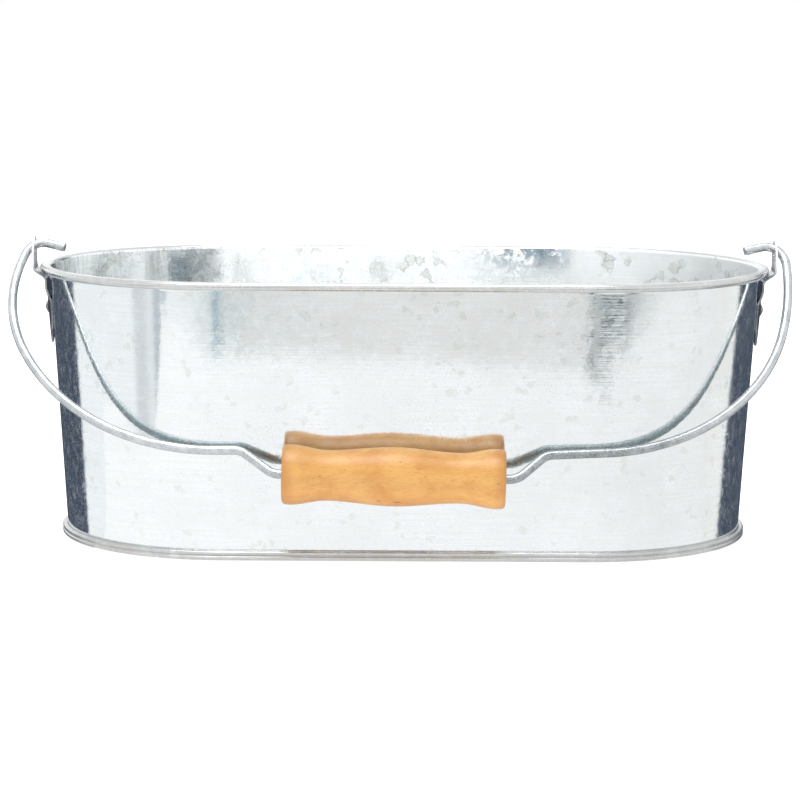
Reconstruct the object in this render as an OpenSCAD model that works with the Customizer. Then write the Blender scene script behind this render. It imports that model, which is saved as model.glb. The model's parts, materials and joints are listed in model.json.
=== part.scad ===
// Oval galvanised florist's bucket with a swinging wire bail and a turned wooden grip.
// Millimetres, +Z up. The origin is the middle of the foot, on the surface it stands on.
// +X runs along the long side, and at rest the bail hangs on the -Y side.

/* [Tub] */
// Overall length over the rolled rim
rim_len = 318; // [300:1:340]
// Overall width over the rolled rim
rim_wid = 164; // [150:1:180]
// Length over the foot of the wall sheet
foot_len = 295.4; // [285:0.1:305]
// Height of the rim above the ground
tub_h = 118; // [110:1:130]
// Thickness of the wall sheet
wall_t = 0.6; // [0.5:0.1:0.8]

/* [Rolled rim] */
// Width of the roll over the sheet, from its inner to its outer face
roll_wid = 4.9; // [4.4:0.1:5.4]
// Height of the roll
roll_h = 3.4; // [3.2:0.1:4]
// Diameter of the wire closed up in the roll
rim_wire_d = 2; // [1.6:0.1:2]

/* [Base] */
// Height of the seam band round the foot
band_h = 4; // [3.6:0.1:5]
// How far the band stands out from the foot of the wall
band_out = 2.5; // [2:0.1:3]
// Height of the pan's underside above the ground
pan_lift = 4; // [3:0.5:6]

/* [Ears] */
// Thickness of the ear plate
ear_t = 0.9; // [0.7:0.1:1.1]
// Greatest half width of the ear, at its rivet
ear_half_wid = 11; // [9:0.5:12]
// Half width of the tab that carries the eye
tab_half_wid = 7; // [6:0.5:8]
// Diameter of the eye
eye_d = 6.3; // [6.2:0.1:6.6]
// Height of the eye's centre above the rim
eye_rise = 7.1; // [7:0.1:8]
// Gap between the roll's outer edge and the middle of the tab
tab_gap = 2.85; // [2.8:0.1:3.2]
// Diameter of the rivet's domed head
rivet_head_d = 5.8; // [5:0.1:6.4]

/* [Bail] */
// Diameter of the bail wire
bail_d = 3.9; // [3.6:0.1:4]
// Lean of the hanging bail from upright, resting on the front wall
bail_lean = 45; // [45:0.5:48]
// Distance from the eyes' axis to the middle of the grip
bail_drop = 122.5; // [118:0.5:124]
// Slope of the wire as it passes through the eye
eye_slope = 38; // [30:1:40]
// Radius of the two bends of each crank beside the grip
crank_radius = 8; // [6:1:9]
// Slope of the crank
crank_slope = 42; // [36:1:48]

/* [Grip] */
// Length of the grip
grip_len = 92.3; // [88:0.1:96]
// Greatest radius, near the ends
grip_flare_r = 12.5; // [12:0.1:12.6]
// Radius at the waists
grip_waist_r = 10.5; // [10:0.1:11]
// Radius in the middle
grip_mid_r = 12.3; // [12:0.1:12.5]
// Distance from the tub's middle to the grip's middle, along the long side
grip_shift = -4.5; // [-6:0.5:0]
// Slope of the grip along the bail, its right end lower
grip_slope = 1.2; // [0:0.1:2]

/* [Hidden] */

round_fn = 96;
small_fn = 48;
steel = [0.74, 0.77, 0.80];
dark_steel = [0.56, 0.59, 0.63];
wood = [0.91, 0.68, 0.38];
press_gap = 0.05;

// The plan is a stadium: two half circles joined by straight sides of this length.
straight = rim_len - rim_wid;
foot_r = (foot_len - straight) / 2;
roll_r = roll_h / 2;
roll_z = tub_h - roll_r;
roll_in = rim_wid / 2 - roll_wid;
draft = (roll_in + wall_t - foot_r) / roll_z;
wall_z0 = wall_t + press_gap;
curl_slit = 0.4;

// Outer face of the wall sheet at height z, measured out from the end circle's centre
function wall_r(z) = foot_r + draft * z;

// Ear and rivet, seen on the +X side
ear_tip_z = 82.6;
flat_z0 = 95;
flat_z1 = 102;
neck_z = 111.6;
tab_z0 = tub_h - 3;
tab_round_z = tub_h + 3;
eye_z = tub_h + eye_rise;
tab_x = rim_len / 2 + tab_gap;
ear_top_z = eye_z + eye_d / 2 + 0.9;
tip_stand = 1.5;
flat_stand = 1.75;
neck_stand = 2;
arch = 0.0165;
arch_fade = 5;
rivet_z = 98.5;
rivet_shank_d = 3;
rivet_dome_h = 1.3;
rivet_clinch_h = 0.8;
corner = 0.22;

// Bail: each step is [straight length, bend radius, bend angle], anticlockwise bends positive.
// An arm starts in its eye and runs outwards and down; a hook starts there and runs inwards.
hook_steps = [[0, 6.5, -eye_slope - 17], [8, 0, 0]];
left_arm = [[0.5, 9, -34], [1.3, 70, -46], [1, 91, -63], [7, 0, 0]];
right_arm = [[0.5, 9, -36], [1, 13, -15], [1.3, 131, -15], [1, 85, -73], [22.2, 0, 0]];
// The wire is a hair thicker where it is bent, and each straight laps into the bends beside it.
bend_swell = 0.02;
lap = 0.3;

// Grip
grip_bore_r = bail_d / 2 + 0.1;
flare_at = 3.3;
waist_at = 18.6;
end_round = 1.7;

// ---- sweeps round the tub's plan ----

// Carries a profile round the stadium; its x runs outwards from the end circle's centre.
module round_the_tub() {
    for (side = [0, 180]) rotate([0, 0, side]) {
        translate([straight / 2, 0, 0]) rotate([0, 0, -90])
            rotate_extrude(angle = 180, $fn = round_fn) children();
        rotate([90, 0, 90]) linear_extrude(height = straight, center = true) children();
    }
}

// Oval section of the roll: two circles with a flat between them
module roll_section(r, inset) {
    near = roll_in + inset + r;
    far = roll_in + roll_wid - inset - r;
    for (x = [near, far]) translate([x, roll_z]) circle(r = r, $fn = small_fn);
    translate([near, roll_z - r]) square([far - near, 2 * r]);
}

module wall_section() {
    difference() {
        union() {
            polygon([[wall_r(wall_z0) - wall_t, wall_z0], [wall_r(wall_z0), wall_z0],
                     [wall_r(roll_z), roll_z], [wall_r(roll_z) - wall_t, roll_z]]);
            roll_section(roll_r, 0);
        }
        roll_section(roll_r - wall_t, wall_t);
        translate([wall_r(roll_z) + 0.05, roll_z - roll_r - 1]) square([curl_slit, 2]);
    }
}

module wall() {
    color(steel) difference() {
        round_the_tub() wall_section();
        for (side = [0, 180]) rotate([0, 0, side]) rivet_hole(press_gap);
    }
}

module rim_wire() {
    x = roll_in + roll_wid - roll_r;
    color(dark_steel) round_the_tub() translate([x, roll_z])
        circle(r = rim_wire_d / 2, $fn = small_fn);
}

// The pan's edge goes down inside the wall, under it and up outside as the seam band.
module pan_section() {
    inside = wall_r(0) - wall_t - press_gap;
    bead = band_h / 4;
    band_x = foot_r + band_out - bead;
    lean = draft * (pan_lift + wall_t);
    polygon([[0, pan_lift], [inside - wall_t, pan_lift], [inside - wall_t, 0], [inside, 0],
             [inside + lean, pan_lift + wall_t], [0, pan_lift + wall_t]]);
    translate([inside - wall_t, 0]) square([band_x - inside + wall_t, wall_t]);
    difference() {
        union() {
            translate([foot_r, 0]) square([band_x - foot_r, band_h]);
            for (z = [bead, band_h - bead]) translate([band_x, z])
                circle(r = bead, $fn = small_fn);
        }
        polygon([[0, wall_t], [wall_r(wall_t) + press_gap, wall_t],
                 [wall_r(band_h) + press_gap, band_h + 1], [0, band_h + 1]]);
    }
}

module base_pan() {
    color(steel) round_the_tub() pan_section();
}

// ---- ears ----

function mix(a, b, t) = a + (b - a) * t;

// Middle line of the ear plate, from its tip up to the top of the tab, as [x, z]
function stand(z, off) = [straight / 2 + wall_r(z) + off, z];
ear_line = [stand(ear_tip_z, tip_stand), stand(flat_z0, flat_stand), stand(flat_z1, flat_stand),
            stand(neck_z, neck_stand), [tab_x, tab_z0], [tab_x, ear_top_z]];

// The same line with each inner corner replaced by a short curve
function corner_points(i) = [
    for (t = [0:0.25:1])
        let (a = mix(ear_line[i], ear_line[i - 1], corner), b = ear_line[i],
             c = mix(ear_line[i], ear_line[i + 1], corner))
        mix(mix(a, b, t), mix(b, c, t), t)];
tip_run = [for (t = [0:0.125:0.75]) mix(ear_line[0], ear_line[1], t)];
top_run = [for (t = [0.3:0.1:0.8]) mix(ear_line[4], ear_line[5], t)];
top_end = [for (t = [0.86, 0.92, 0.96, 0.985, 1]) mix(ear_line[4], ear_line[5], t)];
ear_points = concat(tip_run, [for (i = [1:4]) each corner_points(i)], top_run, top_end);

// Half width of the plate at height z: a pointed shield, a waisted neck and a round-topped tab
function ear_half(z) =
    z < flat_z0 ? mix(1.2, ear_half_wid, sin(90 * (z - ear_tip_z) / (flat_z0 - ear_tip_z))) :
    z < flat_z1 ? ear_half_wid :
    z < neck_z ? mix(tab_half_wid, ear_half_wid,
                     (1 + cos(180 * (z - flat_z1) / (neck_z - flat_z1))) / 2) :
    z < tab_round_z ? tab_half_wid :
    tab_half_wid * sqrt(max(0.03, 1 - pow((z - tab_round_z) / (ear_top_z - tab_round_z), 2)));

// The shield is arched across its width, so that its edges bear on the round end of the tub.
function ear_arch(z) = arch * (z < flat_z1 ? 1 : max(0, 1 - (z - flat_z1) / arch_fade));

function unit(v) = v / norm(v);
function ear_normal(i) =
    let (n = len(ear_points), d = unit(ear_points[min(i + 1, n - 1)] - ear_points[max(i - 1, 0)]))
    [d[1], -d[0]];

// One closed sheet from a grid of points on its outer face and the same grid on its inner face
module ear_sheet() {
    rows = len(ear_points);
    cols = 12;
    function vertex(i, j, s) =
        let (p = ear_points[i], y = ear_half(p[1]) * (2 * j / cols - 1),
             q = p + s * ear_t / 2 * ear_normal(i))
        [q[0] - ear_arch(p[1]) * y * y, y, q[1]];
    function at(i, j, s) = (s > 0 ? 0 : rows * (cols + 1)) + i * (cols + 1) + j;
    points = [for (s = [1, -1]) for (i = [0:rows - 1]) for (j = [0:cols]) vertex(i, j, s)];
    skins = [for (i = [0:rows - 2]) for (j = [0:cols - 1]) for (s = [1, -1])
        let (a = at(i, j, s), b = at(i, j + 1, s), c = at(i + 1, j + 1, s), d = at(i + 1, j, s))
        each s > 0 ? [[a, c, b], [a, d, c]] : [[a, b, c], [a, c, d]]];
    sides = [for (i = [0:rows - 2]) for (j = [0, cols])
        let (a = at(i, j, 1), b = at(i + 1, j, 1), c = at(i + 1, j, -1), d = at(i, j, -1))
        each j == 0 ? [[a, c, b], [a, d, c]] : [[a, b, c], [a, c, d]]];
    ends = [for (j = [0:cols - 1]) for (i = [0, rows - 1])
        let (a = at(i, j, 1), b = at(i, j + 1, 1), c = at(i, j + 1, -1), d = at(i, j, -1))
        each i == 0 ? [[a, b, c], [a, c, d]] : [[a, c, b], [a, d, c]]];
    polyhedron(points, concat(skins, sides, ends));
}

module ear() {
    color(steel) difference() {
        ear_sheet();
        translate([tab_x - 5, 0, eye_z]) rotate([0, 90, 0])
            cylinder(r = eye_d / 2, h = 10, $fn = small_fn);
        rivet_hole(press_gap);
    }
}

module ear_right() {
    ear();
}

module ear_left() {
    rotate([0, 0, 180]) ear();
}

// ---- rivets ----

// Places its children with +Z out of the wall, at the height of the rivet, on the wall's outer face
module on_rivet_axis() {
    translate([straight / 2 + wall_r(rivet_z), 0, rivet_z]) rotate([0, 90 + atan(draft), 0])
        children();
}

module rivet_hole(gap) {
    on_rivet_axis() translate([0, 0, -5])
        cylinder(r = rivet_shank_d / 2 + gap, h = 10, $fn = small_fn);
}

// Shank with a domed head outside and a flat clinched head inside
module rivet() {
    head_r = rivet_head_d / 2;
    seat = flat_stand + ear_t / 2 + press_gap;
    inner = -wall_t - press_gap;
    dome_r = (head_r * head_r + rivet_dome_h * rivet_dome_h) / (2 * rivet_dome_h);
    color(dark_steel) on_rivet_axis() {
        translate([0, 0, inner - rivet_clinch_h / 2])
            cylinder(r = rivet_shank_d / 2, h = seat + rivet_clinch_h - inner, $fn = small_fn);
        intersection() {
            translate([0, 0, seat + rivet_dome_h - dome_r]) sphere(r = dome_r, $fn = small_fn);
            translate([0, 0, seat]) cylinder(r = head_r, h = rivet_dome_h + 1, $fn = small_fn);
        }
        translate([0, 0, inner - rivet_clinch_h])
            cylinder(r = head_r * 0.8, h = rivet_clinch_h, $fn = small_fn);
    }
}

module rivet_right() {
    rivet();
}

module rivet_left() {
    rotate([0, 0, 180]) rivet();
}

// ---- bail ----

// A state is [x, z, heading] of the wire's free end, in the plane of the bail.
function ahead(s, d) = [s[0] + d * cos(s[2]), s[1] + d * sin(s[2]), s[2]];
function turned(s, r, a) =
    let (k = sign(a)) [s[0] + k * r * (sin(s[2] + a) - sin(s[2])),
                       s[1] - k * r * (cos(s[2] + a) - cos(s[2])), s[2] + a];
function run_end(s, steps, i = 0) = i == len(steps) ? s :
    run_end(turned(ahead(s, steps[i][0]), steps[i][1], steps[i][2]), steps, i + 1);

// Bends one length of wire along +X, step by step, in the XZ plane
module wire_run(steps, i = 0) {
    if (i < len(steps)) {
        length = steps[i][0];
        radius = steps[i][1];
        angle = steps[i][2];
        end = turned([0, 0, 0], radius, angle);
        if (length > 0) translate([-lap, 0, 0]) rotate([0, 90, 0])
            cylinder(r = bail_d / 2, h = length + 2 * lap, $fn = small_fn);
        translate([length, 0, 0]) {
            if (angle != 0) mirror([0, 0, angle < 0 ? 1 : 0]) translate([0, 0, radius])
                rotate([90, 90, 0]) rotate_extrude(angle = abs(angle), $fn = round_fn)
                    translate([radius, 0]) circle(r = bail_d / 2 + bend_swell, $fn = small_fn);
            translate([end[0], 0, end[1]]) rotate([0, -angle, 0]) wire_run(steps, i + 1);
        }
    }
}

// The crank that follows an arm, as [its steps, the distance from its foot to the grip's middle].
// The straight between its two bends is as long as it takes to bring the wire onto the grip's axis.
function crank(arm, side) =
    let (axis = -180 - side * grip_slope,
         top = turned(run_end([tab_x, 0, -eye_slope], arm), crank_radius, crank_slope),
         back = axis - top[2],
         foot = turned(top, crank_radius, back),
         off = [foot[0] - side * grip_shift, foot[1] + bail_drop],
         slant = (off[1] * cos(axis) - off[0] * sin(axis)) / sin(back),
         gap = [off[0] + slant * cos(top[2]), off[1] + slant * sin(top[2])])
    [[[0, crank_radius, crank_slope], [slant, crank_radius, back]], norm(gap)];

right_crank = crank(right_arm, 1);
left_crank = crank(left_arm, -1);
left_steps = concat(left_arm, left_crank[0]);
right_steps = concat(right_arm, right_crank[0], [[right_crank[1] + left_crank[1], 0, 0]]);

// Puts its children in the plane of the resting bail, with the eyes' axis at z = 0
module in_bail() {
    translate([0, 0, eye_z]) rotate([-bail_lean, 0, 0]) children();
}

module bail_half(steps) {
    translate([tab_x, 0, 0]) {
        rotate([0, eye_slope, 0]) wire_run(steps);
        mirror([1, 0, 0]) rotate([0, -eye_slope, 0]) wire_run(hook_steps);
    }
}

module bail() {
    color(dark_steel) in_bail() {
        bail_half(right_steps);
        mirror([1, 0, 0]) bail_half(left_steps);
    }
}

// ---- grip ----

// Radius of the turned grip at distance x from its nearer end
function grip_r(x) =
    x < end_round ? grip_flare_r - 0.15 - end_round * (1 - sqrt(1 - pow(1 - x / end_round, 2))) :
    x < flare_at ? grip_flare_r - 0.15 * (flare_at - x) / (flare_at - end_round) :
    x < waist_at ? mix(grip_waist_r, grip_flare_r,
                       (1 + cos(180 * (x - flare_at) / (waist_at - flare_at))) / 2) :
    mix(grip_mid_r, grip_waist_r,
        (1 + cos(180 * (x - waist_at) / (grip_len / 2 - waist_at))) / 2);

module grip() {
    near = concat([for (t = [0:15:75]) end_round * (1 - cos(t))],
                  [for (k = [0:28]) mix(end_round, grip_len / 2, k / 28)]);
    half = [for (x = near) [grip_r(x), x]];
    other = [for (k = [1:len(near) - 1]) let (x = near[len(near) - 1 - k]) [grip_r(x), grip_len - x]];
    color(wood) in_bail() translate([grip_shift, 0, -bail_drop]) rotate([0, 90 + grip_slope, 0])
        translate([0, 0, -grip_len / 2]) rotate_extrude($fn = round_fn)
            polygon(concat([[grip_bore_r, 0]], half, other, [[grip_bore_r, grip_len]]));
}

wall();
rim_wire();
base_pan();
ear_left();
ear_right();
rivet_left();
rivet_right();
bail();
grip();
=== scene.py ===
"""Looks of an oval galvanised florist's bucket with a wire bail and a turned wooden grip.

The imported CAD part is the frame. Every piece below is built round it in metres, in its axes:
+Z up, +X along the long side, and the resting bail on the -Y side.
"""

import json
import math

import bmesh
import bpy
from mathutils import Matrix, Vector, noise


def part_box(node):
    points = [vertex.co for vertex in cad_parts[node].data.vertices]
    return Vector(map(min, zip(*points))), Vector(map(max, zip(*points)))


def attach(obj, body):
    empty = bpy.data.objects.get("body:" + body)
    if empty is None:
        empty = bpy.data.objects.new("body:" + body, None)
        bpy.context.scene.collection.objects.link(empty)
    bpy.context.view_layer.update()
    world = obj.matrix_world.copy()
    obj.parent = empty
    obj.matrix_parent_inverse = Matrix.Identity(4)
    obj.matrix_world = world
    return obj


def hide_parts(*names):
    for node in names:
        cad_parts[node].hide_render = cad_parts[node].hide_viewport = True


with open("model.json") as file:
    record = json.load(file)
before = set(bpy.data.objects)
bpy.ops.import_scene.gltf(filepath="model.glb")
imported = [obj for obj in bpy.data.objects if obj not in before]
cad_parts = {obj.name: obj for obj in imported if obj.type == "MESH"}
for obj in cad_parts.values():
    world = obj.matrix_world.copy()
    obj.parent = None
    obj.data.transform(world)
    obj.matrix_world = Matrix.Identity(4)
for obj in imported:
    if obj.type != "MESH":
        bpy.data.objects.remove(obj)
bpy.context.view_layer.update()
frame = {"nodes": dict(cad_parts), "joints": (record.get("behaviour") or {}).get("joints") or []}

MM = 0.001
UV_NAME = "surface"

# ---- sizes that the CAD part gives ----

# Names that end in _R are radii and those in _Z are heights. The tub's radii are measured from the
# middle of one of its round ends.
WALL_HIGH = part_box("wall")[1]
PAN_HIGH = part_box("base_pan")[1]
EAR_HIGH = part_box("ear_right")[1]
JOINTS = {joint["name"]: joint for joint in frame["joints"]}

END_X = WALL_HIGH.x - WALL_HIGH.y
RIM_R = WALL_HIGH.y
RIM_Z = WALL_HIGH.z
SHEET = 0.6 * MM
ROLL_WIDTH = 4.9 * MM
ROLL_R = 1.7 * MM
ROLL_Z = RIM_Z - ROLL_R
ROLL_IN = RIM_R - ROLL_WIDTH
BAND_OUT = 2.5 * MM
BEAD_R = 1.0 * MM
FOOT_R = PAN_HIGH.y - BAND_OUT
DRAFT = (ROLL_IN + SHEET - FOOT_R) / ROLL_Z
EYE_Z = JOINTS["bail_swing"]["pos_m"][2]
EYE_R = 3.15 * MM
EAR_T = 0.9 * MM
TAB_X = EAR_HIGH.x - EAR_T / 2


def wall_r(z):
    """Outer face of the wall sheet at height z, measured out from an end circle's centre."""
    return FOOT_R + DRAFT * z


# ---- meshes ----

def new_object(name, mesh, smooth=True):
    obj = bpy.data.objects.new(name, mesh)
    bpy.context.scene.collection.objects.link(obj)
    for face in mesh.polygons:
        face.use_smooth = smooth
    return obj


def grid_mesh(name, rows, uvs, close_rows=False, close_columns=False, weld=0.0):
    """A mesh through rows of points. uvs(i, j) is the UV of a point; i and j may reach one past the last."""
    mesh = bmesh.new()
    layer = mesh.loops.layers.uv.new(UV_NAME)
    verts = [[mesh.verts.new(point) for point in row] for row in rows]
    count = len(rows)
    width = len(rows[0])
    for i in range(count if close_rows else count - 1):
        for j in range(width if close_columns else width - 1):
            corners = [(i, j), (i + 1, j), (i + 1, j + 1), (i, j + 1)]
            face = mesh.faces.new([verts[a % count][b % width] for a, b in corners])
            for loop, (a, b) in zip(face.loops, corners):
                loop[layer].uv = uvs(a, b)
    if weld:
        bmesh.ops.remove_doubles(mesh, verts=mesh.verts, dist=weld)
    bmesh.ops.recalc_face_normals(mesh, faces=mesh.faces)
    data = bpy.data.meshes.new(name)
    mesh.to_mesh(data)
    mesh.free()
    return data


def stations(arc_steps=80, side_steps=44):
    """Stops round the tub's plan, from the left end and by way of the front: (centre x, outward angle)."""
    half = arc_steps // 2
    stops = [(-END_X, math.pi + math.pi / 2 * k / half) for k in range(half)]
    stops += [(-END_X + 2 * END_X * k / side_steps, -math.pi / 2) for k in range(side_steps)]
    stops += [(END_X, -math.pi / 2 + math.pi * k / arc_steps) for k in range(arc_steps)]
    stops += [(END_X - 2 * END_X * k / side_steps, math.pi / 2) for k in range(side_steps)]
    stops += [(-END_X, math.pi / 2 + math.pi / 2 * k / half) for k in range(half)]
    return stops


def lengths(points, closed):
    """Distance along the points up to each one, and the whole length at the end where they close."""
    total = 0.0
    found = [total]
    ends = points[1:] + (points[:1] if closed else [])
    for a, b in zip(points, ends):
        total += math.dist(a, b)
        found.append(total)
    return found


def round_the_tub(name, profile, wave=None, closed=True, weld=0.0):
    """Sweeps a profile of (radius, height) points round the tub's plan."""
    stops = stations()
    rows = []
    for centre, angle in stops:
        out = Vector((math.cos(angle), math.sin(angle), 0))
        middle = Vector((centre, 0, 0))
        row = []
        for r, z in profile:
            swell = wave(middle + out * r, z) if wave else 0
            row.append(middle + out * (r + swell) + Vector((0, 0, z)))
        rows.append(row)
    reference = [(c + RIM_R * math.cos(a), RIM_R * math.sin(a)) for c, a in stops]
    along = lengths(reference, True)
    up = lengths(profile, closed)
    return new_object(name, grid_mesh(
        name, rows, lambda i, j: (along[i], up[j]), close_rows=True, close_columns=closed, weld=weld))


def lathe(name, profile, place, segments, closed=False, wave=None):
    """Turns (radius, height) points round a Z axis and puts the result in place."""
    rows = []
    for k in range(segments):
        angle = 2 * math.pi * k / segments
        row = []
        for r, h in profile:
            point = Vector((r * math.cos(angle), r * math.sin(angle), h))
            swell = wave(point) if wave and r > 0 else 0
            row.append(place @ Vector(((r + swell) * math.cos(angle), (r + swell) * math.sin(angle), h)))
        rows.append(row)
    up = lengths(profile, closed)
    widest = max(r for r, h in profile)
    return new_object(name, grid_mesh(
        name, rows, lambda i, j: (2 * math.pi * widest * i / segments, up[j]),
        close_rows=True, close_columns=closed, weld=1e-7))


def mix(a, b, t):
    """The value at share t of the way from a to b."""
    return a + (b - a) * t


def eased(start, end, t):
    """From start at t = 0 to end at t = 1, level at both."""
    return mix(end, start, (1 + math.cos(math.pi * t)) / 2)


def between(a, b, t):
    """The point at share t of the way from a to b."""
    return tuple(mix(p, q, t) for p, q in zip(a, b))


def arc(centre, radius, start, end, steps):
    """Points of an arc in the profile's plane, angles in degrees from +r towards +z."""
    angles = [math.radians(start + (end - start) * k / steps) for k in range(steps + 1)]
    return [(centre[0] + radius * math.cos(a), centre[1] + radius * math.sin(a)) for a in angles]


def straight(a, b, steps):
    """Points from a up to b, both included."""
    return [between(a, b, k / steps) for k in range(steps + 1)]


# ---- tub ----

WALL_FOOT = 0.65 * MM
TUNNEL_R = ROLL_R - SHEET
# The wall's finishes, in the order of its materials
OUTSIDE, INSIDE, ROLLED = range(3)


def sheet_wave(point, z):
    """Slight unevenness of the wall sheet, none at the roll and the foot."""
    below_roll = min(1.0, max(0.0, (RIM_Z - 8 * MM - z) / (25 * MM)))
    above_foot = min(1.0, z / (12 * MM))
    broad = noise.noise(Vector((point.x * 9, point.y * 9, z * 14)))
    fine = noise.noise(Vector((point.x * 34, point.y * 34, z * 22 + 5)))
    return below_roll * above_foot * (0.10 * broad + 0.022 * fine) * MM


def tucked_edge():
    """The sheet's cut edge below the roll, just clear of the wall and with its corners taken off."""
    edge = wall_r(ROLL_Z) + 0.42 * MM
    upper = ROLL_Z - TUNNEL_R
    lower = ROLL_Z - ROLL_R
    back = 0.25 * MM
    corner = 0.06 * MM
    drop = 0.08 * MM
    return [(edge + back, upper), (edge + corner, upper - drop), (edge, upper - SHEET / 2),
            (edge + corner, lower + drop), (edge + back, lower)]


def build_wall():
    """Wall sheet, rolled outwards over the rim wire into an oval bead whose edge is tucked in below."""
    near = ROLL_IN + ROLL_R
    far = RIM_R - ROLL_R
    sheet_top = (wall_r(ROLL_Z) + 0.02 * MM, ROLL_Z - ROLL_R + SHEET + 0.2 * MM)
    outside = straight((wall_r(WALL_FOOT), WALL_FOOT), sheet_top, steps=60)
    curl_in = [(wall_r(ROLL_Z) + 0.05 * MM, ROLL_Z - TUNNEL_R + 0.3 * MM)]
    tunnel = [(near, ROLL_Z + TUNNEL_R)] + arc((far, ROLL_Z), TUNNEL_R, 90, -90, steps=12)
    bead = arc((far, ROLL_Z), ROLL_R, -90, 90, steps=22)[1:]
    crown = straight((far, RIM_Z), (near, RIM_Z), steps=3)[1:-1]
    shoulder = arc((near, ROLL_Z), ROLL_R, 90, 180, steps=14)
    inner_top = (wall_r(ROLL_Z - 2 * MM) - SHEET, ROLL_Z - 2 * MM)
    inside = straight(inner_top, (wall_r(WALL_FOOT) - SHEET, WALL_FOOT), steps=58)
    outer = outside + curl_in + tunnel + tucked_edge() + bead + crown + shoulder
    profile = outer + inside
    wall = round_the_tub("tub_wall", profile, wave=sheet_wave)
    rolled = len(outside + curl_in)
    within = len(outer) - len(shoulder) // 2
    for face in wall.data.polygons:
        column = face.index % len(profile)
        face.material_index = OUTSIDE if column < rolled else ROLLED if column < within else INSIDE
    return wall


def build_pan():
    """Base pan: floor, a leg down inside the wall, and the seam band with its two beads outside."""
    gap = 0.05 * MM
    lift = PAN_HIGH.z - SHEET
    inside = wall_r(0) - SHEET - gap
    lean = DRAFT * PAN_HIGH.z
    face = PAN_HIGH.y - BEAD_R
    corner = 1.2 * MM
    middle = 10 * MM
    bend = inside - SHEET - corner
    valley = 62
    under = [(0, lift)] + straight((middle, lift), (bend, lift), steps=6)
    under += arc((bend, lift - corner), corner, 90, 0, steps=5)[1:]
    leg = [(inside - SHEET, 1.0 * MM)] + arc((inside, SHEET), SHEET, 180, 270, steps=4)
    low_bead = arc((face, BEAD_R), BEAD_R, -90, valley, steps=10)
    high_bead = arc((face, 3 * BEAD_R), BEAD_R, -valley, 90, steps=10)
    top = 4 * BEAD_R
    lip = [(wall_r(top) + 0.35 * MM, top), (wall_r(top) + gap, top - 0.3 * MM)]
    channel = [(wall_r(SHEET) + gap, SHEET), (inside, SHEET)]
    wall_side = [(inside + lean - gap, PAN_HIGH.z - 0.25 * MM)]
    floor = [(inside + lean - 0.9 * MM, PAN_HIGH.z)]
    floor += straight((inside - 6 * MM, PAN_HIGH.z), (middle, PAN_HIGH.z), steps=6) + [(0, PAN_HIGH.z)]
    profile = under + leg + low_bead + high_bead + lip + channel + wall_side + floor
    return round_the_tub("base_pan_seam", profile, closed=False, weld=1e-6)


# ---- ears and rivets ----

# Heights of the plate's corners from its tip up, and how far its middle stands off the wall there
TIP_Z = 82.6 * MM
FLAT_Z0 = 95 * MM
FLAT_Z1 = 102 * MM
NECK_Z = 111.6 * MM
TAB_Z0 = RIM_Z - 3 * MM
TIP_STAND = 1.5 * MM
FLAT_STAND = 1.75 * MM
NECK_STAND = 2 * MM
BEND_SHARE = 0.22
BEND_STEPS = 5
TIP_HALF = 1.0 * MM
EAR_HALF = EAR_HIGH.y
TAB_HALF = 7 * MM
ROUND_Z = RIM_Z + 3 * MM
RIVET_Z = 98.5 * MM
RIVET_HOLE_R = 1.55 * MM
# How fast the shield falls back towards its sides, per metre, and how far above it that ends
ARCH = 16.5
ARCH_FADE = 5 * MM
EAR_ROWS = 60
EAR_COLUMNS = 12
SHORTEST_EDGE = 0.22 * MM
LEAN_ANGLE = math.atan(DRAFT)
WALL_OUT = Vector((math.cos(LEAN_ANGLE), 0, -math.sin(LEAN_ANGLE)))


def ear_half(z):
    """Half width of the ear at height z: a pointed shield, a waisted neck and a round-topped tab."""
    if z < FLAT_Z0:
        share = max(0.0, (z - TIP_Z) / (FLAT_Z0 - TIP_Z))
        return mix(TIP_HALF, EAR_HALF, math.sin(math.pi / 2 * share))
    if z < FLAT_Z1:
        return EAR_HALF
    if z < NECK_Z:
        return eased(EAR_HALF, TAB_HALF, (z - FLAT_Z1) / (NECK_Z - FLAT_Z1))
    if z < ROUND_Z:
        return TAB_HALF
    return TAB_HALF * math.sqrt(max(0.0, 1 - ((z - ROUND_Z) / (EAR_HIGH.z - ROUND_Z)) ** 2))


def ear_line():
    """Middle line of the plate from tip to top, as (x, z), with its corners rounded."""
    stands = [(TIP_Z, TIP_STAND), (FLAT_Z0, FLAT_STAND), (FLAT_Z1, FLAT_STAND), (NECK_Z, NECK_STAND)]
    corners = [(END_X + wall_r(z) + stand, z) for z, stand in stands]
    corners += [(TAB_X, TAB_Z0), (TAB_X, EAR_HIGH.z)]
    points = [corners[0]]
    for before, here, after in zip(corners, corners[1:], corners[2:]):
        start = between(here, before, BEND_SHARE)
        end = between(here, after, BEND_SHARE)
        for k in range(BEND_STEPS + 1):
            t = k / BEND_STEPS
            points.append(between(between(start, here, t), between(here, end, t), t))
    return points + [corners[-1]]


def ear_x(z, line):
    """How far out the plate's middle line is at height z."""
    for (xa, za), (xb, zb) in zip(line, line[1:]):
        if z <= zb:
            return mix(xa, xb, (z - za) / (zb - za))
    return line[-1][0]


def ear_arch(z):
    """Arch of the plate at height z: whole across the shield, none in the neck and the tab."""
    return ARCH * (1 if z < FLAT_Z1 else max(0.0, 1 - (z - FLAT_Z1) / ARCH_FADE))


def hole_points(z, radius, count=40):
    """A round hole on the plate's middle line."""
    angles = [2 * math.pi * k / count for k in range(count)]
    return [(radius * math.cos(a), z + radius * math.sin(a)) for a in angles]


def ear_heights():
    """Heights of the outline's points, closer together towards the round top."""
    return [mix(TIP_Z, EAR_HIGH.z, math.sin(math.pi / 2 * k / EAR_ROWS)) for k in range(EAR_ROWS + 1)]


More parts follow.
